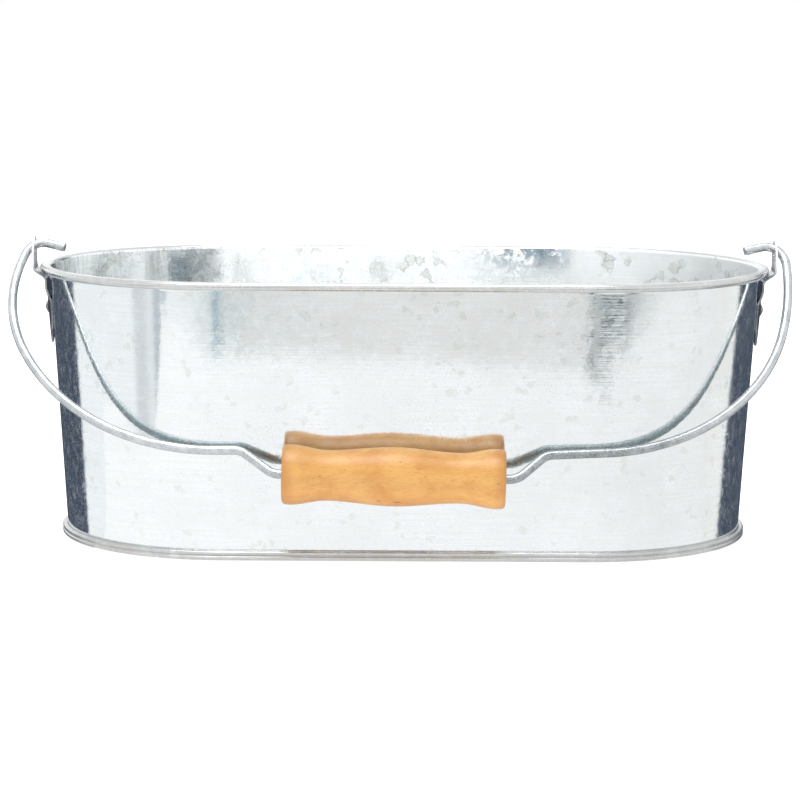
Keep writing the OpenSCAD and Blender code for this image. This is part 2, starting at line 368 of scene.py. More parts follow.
def ear_outline():
    """Points (y, z) round the flat plate."""
    right = [(ear_half(z), z) for z in ear_heights()]
    left = [(-y, z) for y, z in reversed(right) if y > 1e-6]
    return right + left


def flat_plate(loops):
    """A filled flat plate in the YZ plane, bounded by the first loop and pierced by the others."""
    curve = bpy.data.curves.new("ear_outline", "CURVE")
    curve.dimensions = "2D"
    curve.fill_mode = "BOTH"
    for loop in loops:
        spline = curve.splines.new("POLY")
        spline.points.add(len(loop) - 1)
        for point, (y, z) in zip(spline.points, loop):
            point.co = (y, z, 0, 1)
        spline.use_cyclic_u = True
    holder = bpy.data.objects.new("ear_outline", curve)
    mesh = bpy.data.meshes.new_from_object(holder)
    bpy.data.objects.remove(holder)
    bpy.data.curves.remove(curve)
    return mesh


def bisect(mesh, point, normal):
    """Cuts new edges into the mesh along a plane."""
    parts = mesh.verts[:] + mesh.edges[:] + mesh.faces[:]
    bmesh.ops.bisect_plane(mesh, geom=parts, plane_co=point, plane_no=normal, dist=1e-7)


def cut_plate(flat):
    """The flat plate as a bmesh, cut across and along so that it can bend."""
    mesh = bmesh.new()
    mesh.from_mesh(flat)
    bmesh.ops.remove_doubles(mesh, verts=mesh.verts, dist=1e-6)
    for z in ear_heights()[1:]:
        if z < ROUND_Z:
            bisect(mesh, (0, z, 0), (0, 1, 0))
    for k in range(1, EAR_COLUMNS):
        bisect(mesh, (EAR_HALF * (2 * k / EAR_COLUMNS - 1), 0, 0), (1, 0, 0))
    bmesh.ops.remove_doubles(mesh, verts=mesh.verts, dist=SHORTEST_EDGE)
    return mesh


def soften(obj):
    """Gives a bent plate its thickness, slightly rounded edges and even shading."""
    thick = obj.modifiers.new("thickness", "SOLIDIFY")
    thick.thickness = EAR_T
    thick.offset = 0
    soft = obj.modifiers.new("edges", "BEVEL")
    soft.width = 0.1 * MM
    soft.segments = 2
    soft.limit_method = "ANGLE"
    soft.angle_limit = math.radians(50)
    soft.use_clamp_overlap = False
    obj.modifiers.new("shading", "WEIGHTED_NORMAL").keep_sharp = True


def build_ear(name, side):
    """Stamped ear: bent along its height, arched across its shield, with rounded edges."""
    flat = flat_plate([ear_outline(), hole_points(EYE_Z, EYE_R), hole_points(RIVET_Z, RIVET_HOLE_R, 30)])
    mesh = cut_plate(flat)
    line = ear_line()
    layer = mesh.loops.layers.uv.new(UV_NAME)
    for face in mesh.faces:
        for loop in face.loops:
            loop[layer].uv = loop.vert.co.xy
    for vert in mesh.verts:
        y = vert.co.x
        z = vert.co.y
        vert.co = (side * (ear_x(z, line) - ear_arch(z) * y * y), side * y, z)
    bmesh.ops.recalc_face_normals(mesh, faces=mesh.faces)
    mesh.to_mesh(flat)
    mesh.free()
    ear = new_object(name, flat)
    soften(ear)
    return ear


def build_rivet(name, side):
    """Rivet with a domed head over the ear and a clinched head inside the wall."""
    head_r = 2.9 * MM
    dome_h = 1.3 * MM
    seat = FLAT_STAND + EAR_T / 2 + 0.05 * MM
    dome_r = (head_r ** 2 + dome_h ** 2) / (2 * dome_h)
    rim_angle = 4
    reach = math.degrees(math.asin(head_r / dome_r)) - rim_angle
    dome = arc((0, seat + dome_h - dome_r), dome_r, 90, 90 - reach, steps=14)
    rim = [(head_r - 0.02 * MM, seat + 0.2 * MM), (head_r, seat + 0.1 * MM), (head_r - 0.1 * MM, seat)]
    shank = 1.5 * MM
    inner = -SHEET - 0.05 * MM
    clinch_r = 0.8 * head_r
    end = inner - 0.8 * MM
    clinch = [(shank, seat), (shank, inner), (clinch_r - 0.15 * MM, inner), (clinch_r, inner - 0.15 * MM),
              (clinch_r - 0.02 * MM, end + 0.3 * MM), (clinch_r - 0.3 * MM, end + 0.05 * MM),
              (clinch_r - 0.8 * MM, end), (0.6 * MM, end + 0.1 * MM), (0, end + 0.2 * MM)]
    middle = Vector((END_X + wall_r(RIVET_Z), 0, RIVET_Z))
    turn = WALL_OUT.to_track_quat("Z", "Y").to_matrix().to_4x4()
    half_turn = Matrix.Rotation(0 if side > 0 else math.pi, 4, "Z")
    return lathe(name, dome + rim + clinch, half_turn @ Matrix.Translation(middle) @ turn, segments=40)


# ---- bail ----

BAIL_R = 1.95 * MM
BAIL_LUMPS = 0.02 * MM
# How far out the resting bail leans from hanging straight down
LEAN = math.radians(45)
# In the bail's plane, in millimetres and degrees: how far the grip's axis is below the eyes, the wire's
# slope through an eye, the first bend of a crank, and how far the grip is off the middle and slopes
DROP = 122.5
SLOPE = 38
CRANK_R = 8
CRANK_SLOPE = 42
GRIP_SHIFT = -4.5
GRIP_SLOPE = 1.2
# In the same units, a state on the wire is (x, z, heading), and each step along it is
# [straight length, bend radius, bend angle]
AT_EYE = (TAB_X / MM, 0, -SLOPE)
HOOK = [[0, 6.5, -55], [8, 0, 0]]
LEFT_ARM = [[0.5, 9, -34], [1.3, 70, -46], [1, 91, -63], [7, 0, 0]]
RIGHT_ARM = [[0.5, 9, -36], [1, 13, -15], [1.3, 131, -15], [1, 85, -73], [22.2, 0, 0]]


def ahead(state, distance):
    """The state after going straight on."""
    x, z, heading = state
    turn = math.radians(heading)
    return x + distance * math.cos(turn), z + distance * math.sin(turn), heading


def turned(state, radius, angle):
    """The state after a bend."""
    x, z, heading = state
    side = math.copysign(1, angle)
    a = math.radians(heading)
    b = math.radians(heading + angle)
    return (x + side * radius * (math.sin(b) - math.sin(a)),
            z - side * radius * (math.cos(b) - math.cos(a)), heading + angle)


def wire_run(state, steps, spacing=0.8):
    """States along a wire that starts at state and follows the steps."""
    found = [state]
    for length, radius, angle in steps:
        if length:
            count = max(1, round(length / spacing))
            found += [ahead(state, length * k / count) for k in range(1, count + 1)]
            state = found[-1]
        if angle:
            count = max(6, round(radius * math.radians(abs(angle)) / spacing))
            found += [turned(state, radius, angle * k / count) for k in range(1, count + 1)]
            state = found[-1]
    return found


def crank(arm, side):
    """Steps of the crank after an arm, onto the grip's axis, and the way left from there to its middle."""
    axis = -180 - side * GRIP_SLOPE
    top = turned(wire_run(AT_EYE, arm)[-1], CRANK_R, CRANK_SLOPE)
    back = axis - top[2]
    foot = turned(top, CRANK_R, back)
    off = (foot[0] - side * GRIP_SHIFT, foot[1] + DROP)
    along = math.radians(axis)
    heading = math.radians(top[2])
    slant = (off[1] * math.cos(along) - off[0] * math.sin(along)) / math.sin(math.radians(back))
    rest = math.hypot(off[0] + slant * math.cos(heading), off[1] + slant * math.sin(heading))
    return [[0, CRANK_R, CRANK_SLOPE], [slant, CRANK_R, back]], rest


def half_bail(arm, side):
    """Points (x, z) in the bail's plane from a hook's tip, through its eye, to the grip's middle."""
    bends, rest = crank(arm, side)
    down = wire_run(AT_EYE, arm + bends + [[rest, 0, 0]])
    hook = wire_run((-AT_EYE[0], 0, SLOPE), HOOK)
    hook = [(-x, z) for x, z, _ in hook]
    points = list(reversed(hook))[:-1] + [(x, z) for x, z, _ in down]
    return [(side * x, z) for x, z in points]


def bail_place(x, z):
    """Where a point of the bail's plane is on the part, in metres, with the bail at rest."""
    return Vector((x * MM, z * MM * math.sin(LEAN), EYE_Z + z * MM * math.cos(LEAN)))


def build_bail(segments=20):
    """One length of wire from hook to hook, with its cut ends rounded off."""
    path = half_bail(LEFT_ARM, -1) + list(reversed(half_bail(RIGHT_ARM, 1)))[1:]
    points = [bail_place(x, z) for x, z in path]
    side = Vector((0, math.cos(LEAN), -math.sin(LEAN)))
    rows = []
    along = lengths(points, False)
    for i, point in enumerate(points):
        before = points[max(i - 1, 0)]
        after = points[min(i + 1, len(points) - 1)]
        tangent = (after - before).normalized()
        across = side.cross(tangent)
        ring = []
        for k in range(segments):
            angle = 2 * math.pi * k / segments
            out = side * math.cos(angle) + across * math.sin(angle)
            lump = noise.noise(Vector((along[i] * 140, math.cos(angle) * 0.8, math.sin(angle) * 0.8)))
            ring.append(point + out * (BAIL_R + BAIL_LUMPS * lump))
        rows.append(ring)
    for end, inner in ((0, 1), (-1, -2)):
        axis = (points[end] - points[inner]).normalized()
        rows = cap_end(rows, points[end], axis, at_start=end == 0)
    return new_object("bail_wire", wire_mesh("bail_wire", rows, segments))


def cap_end(rows, centre, axis, at_start):
    """Adds a slightly rounded, cut end to the tube."""
    rim = rows[0] if at_start else rows[-1]
    length = 0.3 * MM
    rings = [[point - axis * length for point in rim]]
    for share, depth in ((0.97, 0.10), (0.9, 0.22), (0.78, 0.27), (0.4, 0.29), (0.0, 0.29)):
        back = depth * MM - length
        rings.append([centre + (point - centre) * share + axis * back for point in rim])
    return rings[::-1] + rows[1:] if at_start else rows[:-1] + rings


def wire_mesh(name, rows, segments):
    """The tube's mesh, unrolled along the wire and round it."""
    middles = [sum(row, Vector()) / segments for row in rows]
    along = lengths(middles, False)
    girth = 2 * math.pi * BAIL_R
    return grid_mesh(name, rows, lambda i, j: (along[i], girth * j / segments),
                     close_columns=True, weld=1e-7)


# ---- grip ----

GRIP_LENGTH = 92.3 * MM
FLARE_R = 12.5 * MM
WAIST_R = 10.5 * MM
MID_R = 12.3 * MM
FLARE_AT = 3.3 * MM
WAIST_AT = 18.6 * MM
END_ROUND = 1.7 * MM
BORE_R = 2.05 * MM
GRIP_STEPS = 46


def grip_r(x):
    """Radius of the grip at distance x from its nearer end."""
    if x < FLARE_AT:
        return FLARE_R - 0.15 * MM * (FLARE_AT - x) / (FLARE_AT - END_ROUND)
    if x < WAIST_AT:
        return eased(FLARE_R, WAIST_R, (x - FLARE_AT) / (WAIST_AT - FLARE_AT))
    return eased(WAIST_R, MID_R, (x - WAIST_AT) / (GRIP_LENGTH / 2 - WAIST_AT))


def grip_place():
    """The grip's axis: its own Z, from the middle of its length."""
    joint = JOINTS["grip_spin"]
    axis = Vector(joint["axis"]).normalized()
    turn = axis.to_track_quat("Z", "Y").to_matrix().to_4x4()
    return Matrix.Translation(Vector(joint["pos_m"])) @ turn


def build_grip():
    """Turned grip with two waists, rounded ends and a countersunk bore."""
    half = GRIP_LENGTH / 2
    end_r = grip_r(END_ROUND)
    rounding = arc((end_r - END_ROUND, END_ROUND), END_ROUND, -90, 0, steps=9)
    stops = [END_ROUND + (half - END_ROUND) * k / GRIP_STEPS for k in range(1, GRIP_STEPS + 1)]
    body = [(grip_r(x), x) for x in stops]
    sink = [(BORE_R, 0.7 * MM), (BORE_R + 0.12 * MM, 0.28 * MM), (BORE_R + 0.45 * MM, 0.0),
            (BORE_R + 3 * MM, 0.0), (end_r - END_ROUND - 2 * MM, 0.0)]
    near = sink + rounding + body
    profile = [(r, x - half) for r, x in near]
    profile += [(r, half - x) for r, x in reversed(near[:-1])]

    def uneven(point):
        """Small lumps, and a little less than the full radius."""
        return 0.05 * MM * noise.noise(Vector((point.x * 60, point.y * 60, point.z * 26))) - 0.03 * MM

    return lathe("grip_wood", profile, grip_place(), segments=96, closed=True, wave=uneven)


# ---- node helpers ----

class Graph:
    """Short calls for building a node tree, each of which returns the output socket that matters.

    In the functions that build one, it is called g.
    """

    def __init__(self, tree):
        self.tree = tree
        tree.nodes.clear()

    def node(self, kind, inputs=None, **settings):
        """A new node itself, with values or sockets fed to its inputs."""
        made = self.tree.nodes.new(kind)
        for key, value in settings.items():
            setattr(made, key, value)
        for key, value in (inputs or {}).items():
            self.feed(made.inputs[key], value)
        return made

    def feed(self, socket, value):
        if isinstance(value, bpy.types.NodeSocket):
            self.tree.links.new(value, socket)
        elif socket.type == "RGBA" and len(value) == 3:
            socket.default_value = (*value, 1)
        else:
            socket.default_value = value

    def math(self, operation, a, b=0.0, clamp=False):
        return self.node("ShaderNodeMath", {0: a, 1: b}, operation=operation, use_clamp=clamp).outputs[0]

    def product(self, first, *others):
        """All of the values multiplied."""
        for other in others:
            first = self.math("MULTIPLY", first, other)
        return first

    def vector(self, operation, a, b=(0, 0, 0)):
        return self.node("ShaderNodeVectorMath", {0: a, 1: b}, operation=operation).outputs[0]

    def scaled(self, vector, scale):
        return self.vector("MULTIPLY", vector, scale)

    def ramp(self, value, low, high, to_low=0.0, to_high=1.0, smooth=True):
        """value from low..high onto to_low..to_high, clamped."""
        return self.node("ShaderNodeMapRange", {
            "Value": value, "From Min": low, "From Max": high, "To Min": to_low, "To Max": to_high},
            interpolation_type="SMOOTHSTEP" if smooth else "LINEAR").outputs["Result"]

    def mix(self, share, a, b, blend="MIX"):
        made = self.node("ShaderNodeMix", {"Factor": share}, data_type="RGBA", blend_type=blend)
        self.feed(made.inputs[6], a)
        self.feed(made.inputs[7], b)
        return made.outputs[2]

    def axes(self, vector):
        """The vector's X, Y and Z."""
        split = self.node("ShaderNodeSeparateXYZ", {0: vector})
        return [split.outputs[axis] for axis in "XYZ"]

    def coordinates(self, output="Object"):
        return self.node("ShaderNodeTexCoord").outputs[output]

    def unrolled(self):
        """Where a point is on the piece's own unrolled surface."""
        return self.node("ShaderNodeUVMap", uv_map=UV_NAME).outputs["UV"]

    def noise(self, vector, scale, detail=2.0, rough=0.5, distortion=0.0):
        return self.node("ShaderNodeTexNoise", {
            "Vector": vector, "Scale": scale, "Detail": detail, "Roughness": rough,
            "Distortion": distortion}).outputs["Fac"]

    def streaks(self, vector, scales, **settings):
        """Noise with its own scale along each axis."""
        return self.noise(self.scaled(vector, scales), 1.0, **settings)

    def cells(self, vector, scale, output="Color", feature="F1"):
        cells = self.node("ShaderNodeTexVoronoi", {"Vector": vector, "Scale": scale}, feature=feature)
        return cells.outputs[output]

    def stops(self, value, stops):
        """The colour at value between the stops, which are (position, colour)."""
        made = self.node("ShaderNodeValToRGB", {"Fac": value})
        made.color_ramp.interpolation = "LINEAR"
        elements = made.color_ramp.elements
        while len(elements) < len(stops):
            elements.new(0.5)
        for element, (position, colour) in zip(elements, stops):
            element.position = position
            element.color = (*colour, 1)
        return made.outputs["Color"]

    def bump(self, height, distance, normal=None):
        inputs = {"Height": height, "Distance": distance, "Strength": 1.0}
        if normal is not None:
            inputs["Normal"] = normal
        return self.node("ShaderNodeBump", inputs).outputs["Normal"]


def grey(value):
    return (value, value, value)


def new_material(name):
    """A material and the empty graph of its nodes."""
    material = bpy.data.materials.new(name)
    material.use_nodes = True
    return material, Graph(material.node_tree)


def finish_material(g, inputs):
    """Ends the graph in a Principled shader that has these values and sockets as its inputs."""
    shader = g.node("ShaderNodeBsdfPrincipled", inputs)
    g.node("ShaderNodeOutputMaterial", {"Surface": shader.outputs["BSDF"]})


# ---- materials ----

TARNISH = (0.13, 0.19, 0.245)
OXIDE = (0.66, 0.80, 0.94)
CRYSTAL_EDGE = (0.42, 0.45, 0.46)


def galvanised(name, colour, flake, rough, crystals, tinted, flake_share, dark_share, grain_depth,
               film_share=0.12, stain=False, painted_light_above=None, crystal_edges=0.0):
    """Hot-dipped sheet: rolled grain, tilted and tinted zinc crystals, dark pits and a pale film of oxide.

    crystals is their scale, tinted is how many of them take the flake colour and flake_share how much
    of it. dark_share is how dark the pits are, and film_share how thick the film is.
    """
    material, g = new_material(name)
    place = g.coordinates()
    flat = g.unrolled()
    ragged = ragged_place(g, place, crystals)
    crystal = g.cells(ragged, crystals)
    flakes = tinted_crystals(g, place, crystal, crystals, tinted, flake_share)
    grain = g.streaks(flat, (30.0, 1100.0, 1.0), detail=3.0, rough=0.6)
    cloud = g.noise(place, 34.0, detail=5.0, rough=0.65)
    scuffs = scuffed(g, place, cloud)
    base = g.mix(flakes, rolled_zinc(g, colour, grain, cloud), flake)
    if crystal_edges:
        border = g.ramp(g.cells(ragged, crystals, "Distance", "DISTANCE_TO_EDGE"), 0.0, 0.10, 1.0, 0.0)
        base = g.mix(g.product(border, flakes, crystal_edges), base, CRYSTAL_EDGE)
    dark = pitted(g, place, dark_share)
    roughness = zinc_roughness(g, rough, crystal, flakes, scuffs)
    if stain:
        dark = g.math("MAXIMUM", dark, stained(g, place, flat))
        roughness = g.math("ADD", roughness, dulled_end(g, place))
    film = oxide_film(g, flat, scuffs)
    base = g.mix(g.product(film, 0.2), g.mix(dark, base, TARNISH), OXIDE)
    film = g.product(film, film_share)
    # Painted light: above this height the sheet is painted pale grey and made less metallic, so that it
    # reads as lit.
    if painted_light_above is not None:
        painted_light = g.ramp(g.axes(place)[2], painted_light_above - 5 * MM, painted_light_above)
        base = g.mix(painted_light, base, grey(0.85))
        film = g.math("ADD", film, g.product(painted_light, 0.7))
    finish_material(g, {
        "Base Color": base, "Metallic": g.math("SUBTRACT", 1.0, film, clamp=True),
        "Roughness": roughness, "Normal": zinc_normal(g, place, crystal, grain, grain_depth)})
    return material


def ragged_place(g, place, crystals):
    """The place, shaken a little, so that the crystals get ragged borders."""
    shake = g.node("ShaderNodeTexNoise", {"Vector": place, "Scale": 2.2 * crystals, "Detail": 3.0})
    shake = g.vector("SUBTRACT", shake.outputs["Color"], grey(0.5))
    return g.vector("ADD", place, g.scaled(shake, grey(0.7 / crystals)))


def tinted_crystals(g, place, crystal, crystals, tinted, flake_share):
    """Where a crystal is one of the tinted ones, which gather in patches."""
    own = g.node("ShaderNodeSeparateColor", {"Color": crystal}).outputs["Red"]
    picked = g.ramp(own, 0.98 - tinted, 1.0 - tinted)
    patches = g.ramp(g.noise(place, 0.25 * crystals, detail=3.0), 0.44, 0.60)
    return g.product(picked, patches, flake_share)


def scuffed(g, place, cloud):
    """Where the sheet is scuffed: in fine specks, more so in the clouds."""
    specks = g.ramp(g.noise(place, 700.0, detail=3.0, rough=0.7), 0.50, 0.64)
    return g.product(specks, g.ramp(cloud, 0.40, 0.62, 0.3, 1.0))


def oxide_film(g, flat, scuffs):
    """Where the pale film of oxide is: in small clouds of its own and on the scuffs."""
    film = g.ramp(g.streaks(flat, (240.0, 170.0, 1.0), detail=7.0, rough=0.8), 0.46, 0.66, 0.0, 1.15)
    return g.math("ADD", film, g.product(scuffs, 0.9))


def rolled_zinc(g, colour, grain, cloud):
    """The zinc's own colour, slightly uneven and with its grain."""
    tone = g.mix(g.ramp(cloud, 0.35, 0.66), grey(0.93), grey(1.0))
    tone = g.mix(g.ramp(grain, 0.42, 0.62, 0.0, 0.7), tone, grey(0.925))
    return g.mix(1.0, colour, tone, "MULTIPLY")


def pitted(g, place, dark_share):
    """Share of small dark pits, which gather in zones."""
    pits = g.ramp(g.noise(place, 1100.0, detail=3.0, rough=0.7), 0.56, 0.66)
    zones = g.ramp(g.noise(place, 26.0, detail=3.0, rough=0.6), 0.52, 0.66)
    return g.product(pits, zones, dark_share)


def zinc_roughness(g, rough, crystal, flakes, scuffs):
    """Each crystal has its own roughness; tinted crystals and scuffs are rougher."""
    own = g.node("ShaderNodeSeparateColor", {"Color": crystal}).outputs["Green"]
    roughness = g.ramp(own, 0.0, 1.0, rough, rough + 0.03, smooth=False)
    roughness = g.math("ADD", roughness, g.product(flakes, 0.10))
    return g.math("ADD", roughness, g.product(scuffs, 0.11))


def zinc_normal(g, place, crystal, grain, grain_depth):
    """Every crystal tilts a little its own way; the grain and a fine unevenness stand up."""
    tilt = g.scaled(g.vector("SUBTRACT", crystal, grey(0.5)), grey(0.008))
    normal = g.vector("ADD", g.node("ShaderNodeNewGeometry").outputs["Normal"], tilt)
    normal = g.bump(grain, grain_depth, normal=g.vector("NORMALIZE", normal))
    uneven = g.noise(place, 520.0, detail=3.0, rough=0.65)
    return g.bump(uneven, grain_depth * 0.8, normal=normal)


def dulled_end(g, place):
    """Extra roughness of the inside's right end."""
    return g.product(g.ramp(g.axes(place)[0], 0.045, 0.080), 0.22)


def stained(g, place, flat):
    """Share of slate-blue tarnish: patches high on the rear wall and run-down streaks at the left end."""
    x, y, z = g.axes(place)
    right = g.product(g.ramp(x, 0.026, 0.05), g.ramp(x, 0.068, 0.082, 1.0, 0.0))
    right = g.product(right, g.ramp(z, 0.100, 0.118), g.ramp(y, 0.0, 0.02))
    left = g.product(g.ramp(x, -0.106, -0.101), g.ramp(x, -0.090, -0.078, 1.0, 0.0))
    zone = g.math("MAXIMUM", right, g.product(left, g.ramp(z, 0.080, 0.110, 0.0, 0.5)))
    denser = g.ramp(x, 0.050, 0.064, 0.0, 0.12)
    spots = g.noise(place, 190.0, detail=5.0, rough=0.75, distortion=0.4)
    spots = g.ramp(g.math("ADD", spots, denser), 0.45, 0.57)
    runs = g.ramp(g.streaks(flat, (420.0, 16.0, 1.0), detail=4.0, rough=0.7), 0.47, 0.64)
    runs = g.product(runs, g.ramp(x, -0.125, -0.075, 1.0, 0.0), 0.26)
    return g.math("MAXIMUM", g.product(spots, zone, 0.85), runs)


def steel_wire(name):
    """Galvanised wire: satin, with fine drawn lines, zinc speckle, duller spots and painted shade."""
    material, g = new_material(name)
    place = g.coordinates()
    x = g.axes(place)[0]
    speckle = g.noise(place, 1300.0, detail=3.0, rough=0.75)
    blotch = g.noise(place, 200.0, detail=3.0, rough=0.6)
    lines = g.streaks(g.unrolled(), (90.0, 2600.0, 1.0))
    shade = g.ramp(blotch, 0.3, 0.7, smooth=False)
    # Painted light and shade: a lit and a shaded tone of the same wire; the shaded one, with more speckle,
    # lies from x = -0.10 to 0.15 m and leaves the left end lighter.
    lit_tone = g.mix(shade, (0.46, 0.48, 0.49), (0.66, 0.68, 0.69))
    shaded_tone = g.mix(shade, (0.26, 0.28, 0.285), (0.46, 0.48, 0.485))
    painted_shade = g.product(g.ramp(x, -0.10, 0.02), g.ramp(x, 0.08, 0.15, 1.0, 0.0))
    inside = inner_side(g, x)
    # Painted reflection: the side towards the tub is painted teal-grey.
    base = g.mix(inside, g.mix(painted_shade, lit_tone, shaded_tone), (0.42, 0.48, 0.485))
    specks = g.ramp(speckle, 0.50, 0.64, 0.0, g.ramp(painted_shade, 0.0, 1.0, 0.3, 0.8))
    base = g.mix(specks, base, (0.13, 0.145, 0.16))
    roughness = g.math("ADD", g.ramp(blotch, 0.35, 0.65, 0.26, 0.38), g.product(inside, 0.3))
    normal = g.bump(speckle, 0.02 * MM)
    normal = g.bump(lines, 0.008 * MM, normal=normal)
    finish_material(g, {"Metallic": 1.0, "Base Color": base, "Roughness": roughness, "Normal": normal})
    return material


def inner_side(g, x):
    """The bail's side that faces the tub and its middle plane, which is rougher and painted a darker
    teal-grey as a painted reflection of the tub.
    """
    facing_x, facing_y, _ = g.axes(g.coordinates("Normal"))
    towards_middle = g.product(x, -6.0, facing_x)
    return g.ramp(g.math("ADD", towards_middle, facing_y), 0.15, 0.55)


PALE_WOOD = (0.67, 0.38, 0.115)
WOOD_TONES = [(0.0, (0.43, 0.180, 0.034)), (0.4, (0.54, 0.26, 0.056)), (0.75, (0.61, 0.32, 0.080)),
              (1.0, PALE_WOOD)]


def turned_wood(name):
    """Lacquered light hardwood with its grain along the grip, soft figure and a few dark specks."""
    material, g = new_material(name)
    place = g.coordinates()
    fibres = g.streaks(place, (60.0, 900.0, 900.0), detail=4.0, rough=0.65)
    figure = g.streaks(place, (9.0, 62.0, 62.0), detail=4.0, rough=0.55, distortion=0.6)
    cloud = g.noise(place, 46.0, detail=3.0)
    smudge = g.noise(place, 70.0, detail=5.0, rough=0.65, distortion=0.4)
    pores = g.streaks(place, (420.0, 2200.0, 2200.0), detail=3.0, rough=0.7)
    specks = g.streaks(place, (150.0, 420.0, 420.0))
    # Painted shade: the wood is darkened over the last 6 mm towards each end of the grip.
    from_middle = g.math("ABSOLUTE", g.math("SUBTRACT", g.axes(place)[0], GRIP_SHIFT * MM))
    ends = g.ramp(from_middle, GRIP_LENGTH / 2 - 6 * MM, GRIP_LENGTH / 2 - 1 * MM, 0.0, 0.55)
    base = g.stops(g.ramp(figure, 0.3, 0.72, smooth=False), WOOD_TONES)
    for share, tone in (
            (g.ramp(cloud, 0.35, 0.7, 0.0, 0.5), PALE_WOOD),
            (g.ramp(fibres, 0.5, 0.75, 0.0, 0.35), (0.43, 0.18, 0.036)),
            (g.ramp(smudge, 0.48, 0.66, 0.0, 0.75), (0.50, 0.215, 0.036)),
            (g.ramp(pores, 0.52, 0.66, 0.0, 0.45), (0.38, 0.15, 0.03)),
            (ends, (0.40, 0.165, 0.034)),
            (g.ramp(specks, 0.72, 0.77, 0.0, 0.8), (0.20, 0.07, 0.03))):
        base = g.mix(share, base, tone)
    uneven = g.streaks(place, (500.0, 1500.0, 1500.0), detail=3.0, rough=0.7)
    normal = g.bump(uneven, 0.03 * MM, normal=g.bump(fibres, 0.04 * MM))
    finish_material(g, {
        "Roughness": 0.42, "Coat Weight": 0.25, "Coat Roughness": 0.33, "IOR": 1.48,
        "Base Color": base, "Normal": normal})
    return material


def dress(obj, materials, body, slot, *nodes):
    """Gives a piece its materials and, where it stands for CAD nodes, hides them and ties the piece to its
    body. The slot argument is not used.
    """
    places = [face.material_index for face in obj.data.polygons]
    obj.data.materials.clear()
    for material in materials:
        obj.data.materials.append(material)
    if len(materials) > 1:
        obj.data.polygons.foreach_set("material_index", places)
    if nodes:
        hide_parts(*nodes)
        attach(obj, body)


# ---- studio ----

CAMERA_TARGET = Vector((-0.00175, 0, 0.05755))
CAMERA_DISTANCE = 1.33
CAMERA_YAW = math.radians(-0.285)
CAMERA_ELEVATION = math.radians(8.55)
CAMERA_ROLL = math.radians(0.36)
CAMERA_LENS = 135.9


def add_camera():
    """Camera that sees the bucket as the photo does."""
    level = math.cos(CAMERA_ELEVATION)
    back = Vector((math.sin(CAMERA_YAW) * level, -math.cos(CAMERA_YAW) * level, math.sin(CAMERA_ELEVATION)))
    right = Vector((math.cos(CAMERA_YAW), math.sin(CAMERA_YAW), 0))
    up = back.cross(right)
    x_axis = right * math.cos(CAMERA_ROLL) + up * math.sin(CAMERA_ROLL)
    y_axis = up * math.cos(CAMERA_ROLL) - right * math.sin(CAMERA_ROLL)
    camera = bpy.data.objects.new("camera", bpy.data.cameras.new("camera"))
    camera.data.lens = CAMERA_LENS
    bpy.context.scene.collection.objects.link(camera)
    turn = Matrix((x_axis, y_axis, back)).transposed().to_4x4()
    camera.matrix_world = Matrix.Translation(CAMERA_TARGET + back * CAMERA_DISTANCE) @ turn
    bpy.context.scene.camera = camera


def add_light(name, place, size, power, target=(0, 0, 0.05)):
    """Round area light that faces its target."""
    data = bpy.data.lights.new(name, "AREA")
    data.shape = "DISK"
    data.size = size
    data.energy = power
    light = bpy.data.objects.new(name, data)
    bpy.context.scene.collection.objects.link(light)
    light.location = place
    light.rotation_mode = "QUATERNION"
    light.rotation_quaternion = (Vector(target) - Vector(place)).to_track_quat("-Z", "Y")


def flat_sheet(name, corners, z, material):
    """A level sheet of the studio, not of the part."""
    data = bpy.data.meshes.new(name)
    data.from_pydata([(x, y, z) for x, y in corners], [], [range(len(corners))])
    obj = new_object(name, data, smooth=False)
    obj.data.materials.append(material)
    return obj


FLOOR_REACH = 6
FLOOR_Z = -0.0002
CARD_Z = -0.0001
# The white card in front of the bucket, seen only by reflections. Its far edge ends the white that
# stands on the front wall.
CARD_EDGE = [(-0.39, -0.047), (-0.39, -0.10), (-0.245, -0.185), (-0.41, -0.425), (-0.10, -0.42),
             (0.085, -0.385), (0.125, -0.34), (0.17, -0.34), (0.20, -0.41), (0.90, -0.41), (0.90, -0.047)]


def add_floor():
    """Pale floor that reflections don't see."""
    material, g = new_material("floor_white")
    finish_material(g, {
        "Base Color": grey(0.9), "Roughness": 0.9, "Emission Color": grey(1), "Emission Strength": 0.5})
    corners = [(FLOOR_REACH * x, FLOOR_REACH * y) for x, y in ((-1, -1), (1, -1), (1, 1), (-1, 1))]
    floor = flat_sheet("floor", corners, FLOOR_Z, material)
    floor.visible_glossy = False


def add_card():
    """White card that only reflections see, a little brighter at its left end."""
    material, g = new_material("card_white")
    strength = g.ramp(g.axes(g.coordinates())[0], -0.15, 0.25, 1.15, 1.0)
    glow = g.node("ShaderNodeEmission", {"Color": grey(1), "Strength": strength})
    g.node("ShaderNodeOutputMaterial", {"Surface": glow.outputs["Emission"]})
    card = flat_sheet("front_card", CARD_EDGE, CARD_Z, material)
    card.visible_camera = False
    card.visible_diffuse = False
    card.visible_shadow = False


DARK = (0.065, 0.084, 0.12)
SLATE = (0.05, 0.10, 0.13)
OVER_SLATE = (0.18, 0.24, 0.285)
SIDE = (1.02, 1.04, 1.05)
WARM_SIDE = (0.99, 0.99, 0.965)
HAZE = (0.885, 0.885, 0.865)
STRIP = (0.58, 0.64, 0.68)
PALE_STRIP = (0.77, 0.80, 0.82)
PALER_STRIP = (0.92, 0.94, 0.95)
BLUE_STRIP = (0.44, 0.56, 0.60)
GLOW = (1.38, 1.40, 1.42)
CEILING = (1.1, 1.12, 1.15)
GROUND = grey(0.9)
LOW_BEHIND = (0.62, 0.66, 0.69)
